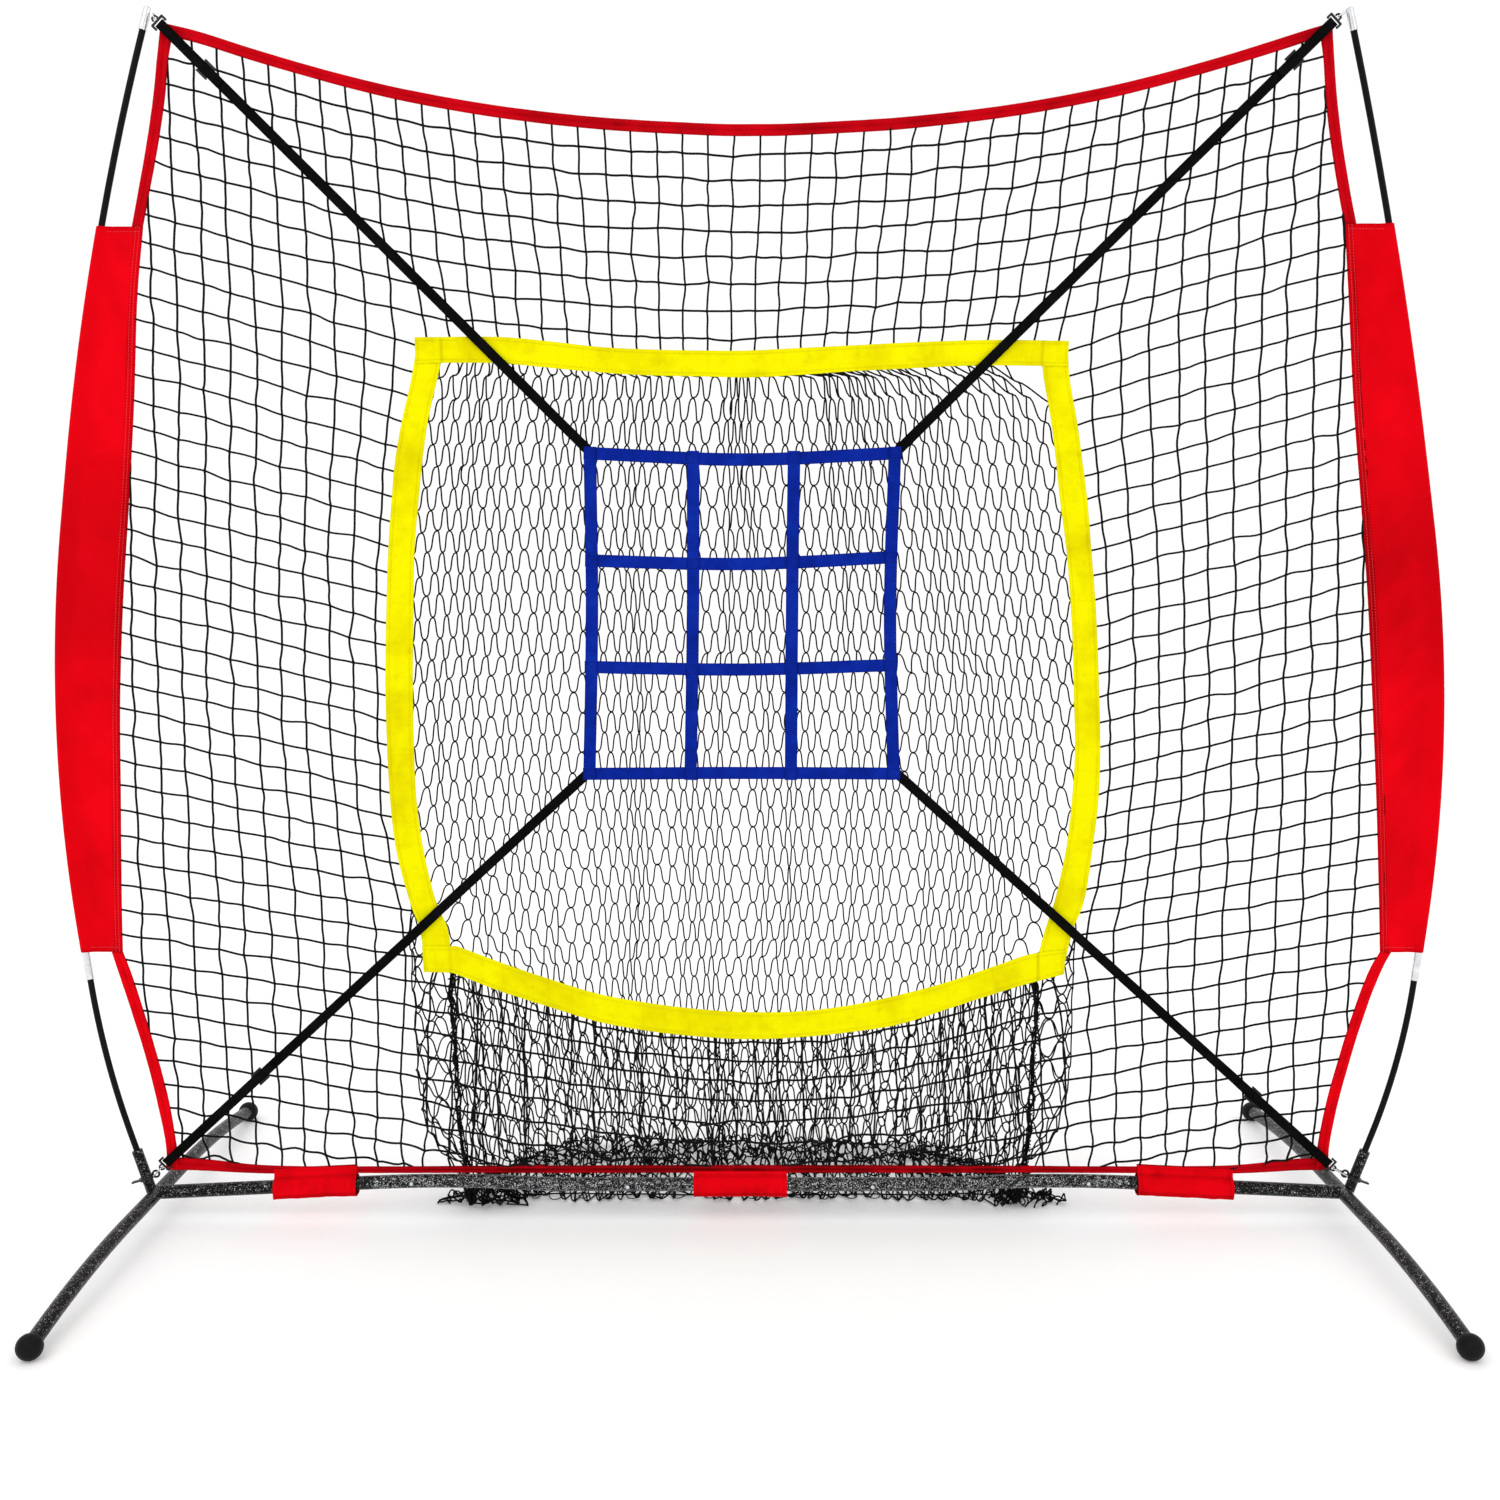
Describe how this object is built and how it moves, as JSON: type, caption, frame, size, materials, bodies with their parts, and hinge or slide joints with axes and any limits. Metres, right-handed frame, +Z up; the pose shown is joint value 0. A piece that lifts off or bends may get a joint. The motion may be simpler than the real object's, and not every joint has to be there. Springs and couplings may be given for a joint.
{
  "type": "pitching target net",
  "caption": "Freestanding baseball pitching net on a steel base with a webbing strike zone over a catch pocket",
  "frame": {"origin": "on the ground under the middle of the base bar, at the centre of the four feet", "axes": "+X along the base bar to the right seen from the pitcher, +Y from the pitcher into the pocket, +Z up"},
  "size_m": [2.4898, 1.0608, 2.1473],
  "materials": {
    "tube_coat": "satin",
    "socket_coat": "satin",
    "black_steel": "satin",
    "foot_rubber": "matte",
    "bright_steel": "satin",
    "pole_rod": "gloss",
    "red_cloth": "matte",
    "red_binding": "matte",
    "yellow_band": "matte",
    "net_cord": "matte",
    "pocket_cord": "matte",
    "blue_webbing": "matte",
    "black_webbing": "matte",
    "slider_plastic": "satin"
  },
  "bodies": {
    "frame": {"bar_sleeve_left": "red_binding", "bar_sleeve_middle": "red_binding", "bar_sleeve_right": "red_binding", "base_bar_left": "tube_coat", "base_bar_middle": "tube_coat", "base_bar_right": "tube_coat", "bottom_binding": "red_binding", "catch_pocket": "pocket_cord", "corner_links": "bright_steel", "corner_strap_bottom_left": "black_webbing", "corner_strap_bottom_right": "black_webbing", "corner_strap_top_left": "black_webbing", "corner_strap_top_right": "black_webbing", "end_tee_left": "tube_coat", "end_tee_right": "tube_coat", "mouth_band_bottom": "yellow_band", "mouth_band_left": "yellow_band", "mouth_band_right": "yellow_band", "mouth_band_top": "yellow_band", "pole_ferrules": "bright_steel", "pole_lower_left": "pole_rod", "pole_lower_right": "pole_rod", "pole_middle_left": "pole_rod", "pole_middle_right": "pole_rod", "pole_socket_left": "socket_coat", "pole_socket_right": "socket_coat", "pole_tip_left": "bright_steel", "pole_tip_right": "bright_steel", "pole_upper_left": "pole_rod", "pole_upper_right": "pole_rod", "side_binding_lower_left": "red_binding", "side_binding_lower_right": "red_binding", "side_binding_upper_left": "red_binding", "side_binding_upper_right": "red_binding", "side_sleeve_left": "red_cloth", "side_sleeve_right": "red_cloth", "strap_hooks": "black_steel", "strike_zone_crossbars": "blue_webbing", "strike_zone_uprights": "blue_webbing", "target_net": "net_cord", "tee_hooks": "black_steel", "top_binding": "red_binding"},
    "leg_assembly_front_left": {"leg_front_left": "tube_coat", "foot_front_left": "foot_rubber"},
    "leg_assembly_front_right": {"leg_front_right": "tube_coat", "foot_front_right": "foot_rubber"},
    "leg_assembly_rear_left": {"leg_rear_left": "tube_coat", "foot_rear_left": "foot_rubber"},
    "leg_assembly_rear_right": {"leg_rear_right": "tube_coat", "foot_rear_right": "foot_rubber"},
    "snap_button_outer_left": {"snap_button_outer_left": "bright_steel"},
    "snap_button_outer_right": {"snap_button_outer_right": "bright_steel"},
    "snap_button_inner_left": {"snap_button_inner_left": "bright_steel"},
    "snap_button_inner_right": {"snap_button_inner_right": "bright_steel"},
    "strap_slider_top_left": {"strap_slider_top_left": "slider_plastic"},
    "strap_slider_top_right": {"strap_slider_top_right": "slider_plastic"},
    "strap_slider_bottom_left": {"strap_slider_bottom_left": "slider_plastic"},
    "strap_slider_bottom_right": {"strap_slider_bottom_right": "slider_plastic"}
  },
  "joints": [
    {"name": "leg_pull_off_front_left", "type": "slide", "parent": "frame", "child": "leg_assembly_front_left", "axis": [0, -1, 0], "range_m": [0, 0.05]},
    {"name": "leg_pull_off_front_right", "type": "slide", "parent": "frame", "child": "leg_assembly_front_right", "axis": [0, -1, 0], "range_m": [0, 0.05]},
    {"name": "leg_pull_off_rear_left", "type": "slide", "parent": "frame", "child": "leg_assembly_rear_left", "axis": [0, 1, 0], "range_m": [0, 0.05]},
    {"name": "leg_pull_off_rear_right", "type": "slide", "parent": "frame", "child": "leg_assembly_rear_right", "axis": [0, 1, 0], "range_m": [0, 0.05]},
    {"name": "button_press_outer_left", "type": "slide", "parent": "frame", "child": "snap_button_outer_left", "axis": [0, 1, 0], "range_m": [0, 0.0035], "stiffness_N_per_m": 1500, "springref_m": -0.001},
    {"name": "button_press_outer_right", "type": "slide", "parent": "frame", "child": "snap_button_outer_right", "axis": [0, 1, 0], "range_m": [0, 0.0035], "stiffness_N_per_m": 1500, "springref_m": -0.001},
    {"name": "button_press_inner_left", "type": "slide", "parent": "frame", "child": "snap_button_inner_left", "axis": [0, 1, 0], "range_m": [0, 0.0035], "stiffness_N_per_m": 1500, "springref_m": -0.001},
    {"name": "button_press_inner_right", "type": "slide", "parent": "frame", "child": "snap_button_inner_right", "axis": [0, 1, 0], "range_m": [0, 0.0035], "stiffness_N_per_m": 1500, "springref_m": -0.001},
    {"name": "slider_travel_top_left", "type": "slide", "parent": "frame", "child": "strap_slider_top_left", "axis": [-0.7098, 0, 0.7044], "range_m": [-0.025, 0.07]},
    {"name": "slider_travel_top_right", "type": "slide", "parent": "frame", "child": "strap_slider_top_right", "axis": [0.7141, 0, 0.7], "range_m": [-0.025, 0.055]},
    {"name": "slider_travel_bottom_left", "type": "slide", "parent": "frame", "child": "strap_slider_bottom_left", "axis": [-0.735, 0, -0.678], "range_m": [-0.025, 0.18]},
    {"name": "slider_travel_bottom_right", "type": "slide", "parent": "frame", "child": "strap_slider_bottom_right", "axis": [0.7422, 0, -0.6702], "range_m": [-0.025, 0.14]}
  ]
}
